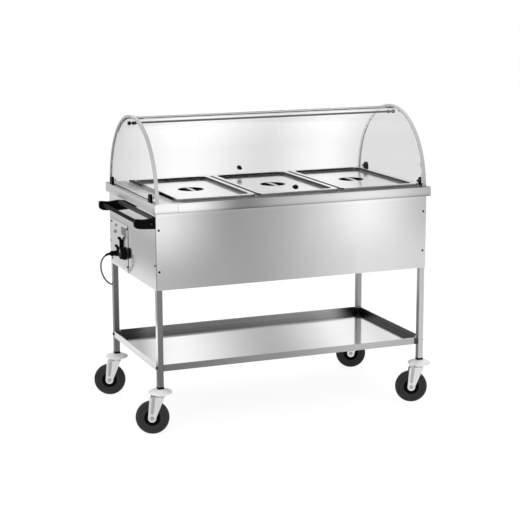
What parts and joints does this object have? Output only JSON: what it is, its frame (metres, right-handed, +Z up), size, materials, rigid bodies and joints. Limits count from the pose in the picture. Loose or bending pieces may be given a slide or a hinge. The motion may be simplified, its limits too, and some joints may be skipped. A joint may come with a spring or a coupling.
{
  "type": "bain marie trolley",
  "caption": "Wheeled bain marie trolley: heated water tank with lidded pans in a steel casing on legs, under a clear arched cover with hinged flaps, with a lower shelf.",
  "frame": {"origin": "on the floor under the middle of the trolley, measured without its cord", "axes": "+X along the trolley away from the push handle, +Y from front to rear, +Z up"},
  "size_m": [1.1973, 0.6865, 1.1435],
  "materials": {
    "casing_steel": "brushed stainless sheet",
    "shelf_steel": "brushed stainless sheet",
    "leg_steel": "satin stainless square tube",
    "tank_steel": "satin stainless sheet",
    "pan_steel": "bright drawn stainless",
    "lid_steel": "bright pressed stainless",
    "plate_steel": "satin stainless plate",
    "fixing_steel": "bright stainless",
    "dark_bolt": "dark oiled steel",
    "heater_steel": "heat-dulled stainless",
    "valve_brass": "nickel-plated brass",
    "lever_paint": "dipped red",
    "black_plastic": "fine-textured black",
    "grey_plastic": "fine-textured dark grey",
    "thermostat_case": "moulded cream",
    "lamp_lens": "clear lens over a dark lamp",
    "button_plastic": "gloss dark grey",
    "cord_rubber": "smooth black",
    "handle_coat": "black-coated tube",
    "clear_acrylic": "clear acrylic",
    "castor_zinc": "bright zinc plate",
    "hub_plastic": "moulded near-black",
    "tyre_rubber": "near-black rubber",
    "bumper_rubber": "light grey rubber"
  },
  "bodies": {
    "frame": {"legs": "leg_steel", "lower_shelf": "shelf_steel", "shelf_bolts": "dark_bolt", "front_panel": "casing_steel", "rear_panel": "casing_steel", "left_panel": "casing_steel", "right_panel": "casing_steel", "base_plate": "casing_steel", "worktop": "casing_steel", "water_tank": "tank_steel", "crossbars": "tank_steel", "heating_element": "heater_steel", "drain_valve": "valve_brass", "control_plate": "plate_steel", "thermostat": "thermostat_case", "pilot_lamp": "lamp_lens", "button_bezel": "black_plastic", "cord_hooks": "black_plastic", "cable_gland": "black_plastic", "power_cord": "cord_rubber", "cord_coil": "cord_rubber", "mains_plug": "cord_rubber", "handle_brackets": "grey_plastic", "handle_tube": "handle_coat", "handle_back_rail": "grey_plastic", "casing_screws": "fixing_steel", "dome_ends": "clear_acrylic", "ridge_strip": "clear_acrylic", "hinge_pins": "fixing_steel", "tie_rod": "fixing_steel", "tie_rod_nuts": "black_plastic", "dome_clips": "black_plastic", "leg_inserts": "black_plastic", "castor_stems": "castor_zinc", "castor_bumpers": "bumper_rubber"},
    "flap_front": {"flap_front": "clear_acrylic", "flap_knob_front": "black_plastic"},
    "flap_rear": {"flap_rear": "clear_acrylic", "flap_knob_rear": "black_plastic"},
    "thermostat_knob": {"thermostat_knob": "black_plastic"},
    "power_button": {"power_button": "button_plastic"},
    "drain_lever": {"drain_lever": "lever_paint"},
    "pan_1": {"pan_1": "pan_steel"},
    "lid_1": {"lid_1": "lid_steel"},
    "pan_2": {"pan_2": "pan_steel"},
    "lid_2": {"lid_2": "lid_steel"},
    "pan_3": {"pan_3": "pan_steel"},
    "lid_3": {"lid_3": "lid_steel"},
    "castor_front_left": {"castor_fork_front_left": "castor_zinc"},
    "wheel_front_left": {"castor_hub_front_left": "hub_plastic", "castor_tyre_front_left": "tyre_rubber"},
    "castor_rear_left": {"castor_fork_rear_left": "castor_zinc"},
    "wheel_rear_left": {"castor_hub_rear_left": "hub_plastic", "castor_tyre_rear_left": "tyre_rubber"},
    "castor_front_right": {"castor_fork_front_right": "castor_zinc"},
    "wheel_front_right": {"castor_hub_front_right": "hub_plastic", "castor_tyre_front_right": "tyre_rubber"},
    "castor_rear_right": {"castor_fork_rear_right": "castor_zinc"},
    "wheel_rear_right": {"castor_hub_rear_right": "hub_plastic", "castor_tyre_rear_right": "tyre_rubber"}
  },
  "joints": [
    {"name": "front_flap_hinge", "type": "hinge", "parent": "frame", "child": "flap_front", "pos_m": [0.02285, -0.03124, 1.13098], "axis": [-1, 0, 0], "range_deg": [0, 100]},
    {"name": "rear_flap_hinge", "type": "hinge", "parent": "frame", "child": "flap_rear", "pos_m": [0.02285, 0.02676, 1.13098], "axis": [1, 0, 0], "range_deg": [0, 100]},
    {"name": "pan_1_lift", "type": "slide", "parent": "frame", "child": "pan_1", "axis": [0, 0, 1], "range_m": [0, 0.04]},
    {"name": "lid_1_lift", "type": "slide", "parent": "pan_1", "child": "lid_1", "axis": [0, 0, 1], "range_m": [0, 0.045]},
    {"name": "pan_2_lift", "type": "slide", "parent": "frame", "child": "pan_2", "axis": [0, 0, 1], "range_m": [0, 0.04]},
    {"name": "lid_2_lift", "type": "slide", "parent": "pan_2", "child": "lid_2", "axis": [0, 0, 1], "range_m": [0, 0.045]},
    {"name": "pan_3_lift", "type": "slide", "parent": "frame", "child": "pan_3", "axis": [0, 0, 1], "range_m": [0, 0.04]},
    {"name": "lid_3_lift", "type": "slide", "parent": "pan_3", "child": "lid_3", "axis": [0, 0, 1], "range_m": [0, 0.045]},
    {"name": "thermostat_turn", "type": "hinge", "parent": "frame", "child": "thermostat_knob", "pos_m": [-0.52115, 0.08776, 0.608], "axis": [1, 0, 0], "range_deg": [0, 270]},
    {"name": "power_press", "type": "slide", "parent": "frame", "child": "power_button", "axis": [1, 0, 0], "range_m": [0, 0.0025], "stiffness_N_per_m": 300},
    {"name": "drain_turn", "type": "hinge", "parent": "frame", "child": "drain_lever", "pos_m": [0.14285, 0.10776, 0.492], "axis": [0, 0, 1], "range_deg": [0, 90]},
    {"name": "swivel_front_left", "type": "hinge", "parent": "frame", "child": "castor_front_left", "pos_m": [-0.50895, -0.27754, 0.142], "axis": [0, 0, 1], "continuous": true},
    {"name": "roll_front_left", "type": "hinge", "parent": "castor_front_left", "child": "wheel_front_left", "pos_m": [-0.53665, -0.26601, 0.0625], "axis": [-0.3843, -0.9232, 0], "continuous": true},
    {"name": "swivel_rear_left", "type": "hinge", "parent": "frame", "child": "castor_rear_left", "pos_m": [-0.50895, 0.27306, 0.142], "axis": [0, 0, 1], "continuous": true},
    {"name": "roll_rear_left", "type": "hinge", "parent": "castor_rear_left", "child": "wheel_rear_left", "pos_m": [-0.53665, 0.28459, 0.0625], "axis": [-0.3843, -0.9232, 0], "continuous": true},
    {"name": "swivel_front_right", "type": "hinge", "parent": "frame", "child": "castor_front_right", "pos_m": [0.55465, -0.27754, 0.142], "axis": [0, 0, 1], "continuous": true},
    {"name": "roll_front_right", "type": "hinge", "parent": "castor_front_right", "child": "wheel_front_right", "pos_m": [0.52695, -0.26601, 0.0625], "axis": [-0.3843, -0.9232, 0], "continuous": true},
    {"name": "swivel_rear_right", "type": "hinge", "parent": "frame", "child": "castor_rear_right", "pos_m": [0.55465, 0.27306, 0.142], "axis": [0, 0, 1], "continuous": true},
    {"name": "roll_rear_right", "type": "hinge", "parent": "castor_rear_right", "child": "wheel_rear_right", "pos_m": [0.52695, 0.28459, 0.0625], "axis": [-0.3843, -0.9232, 0], "continuous": true}
  ]
}
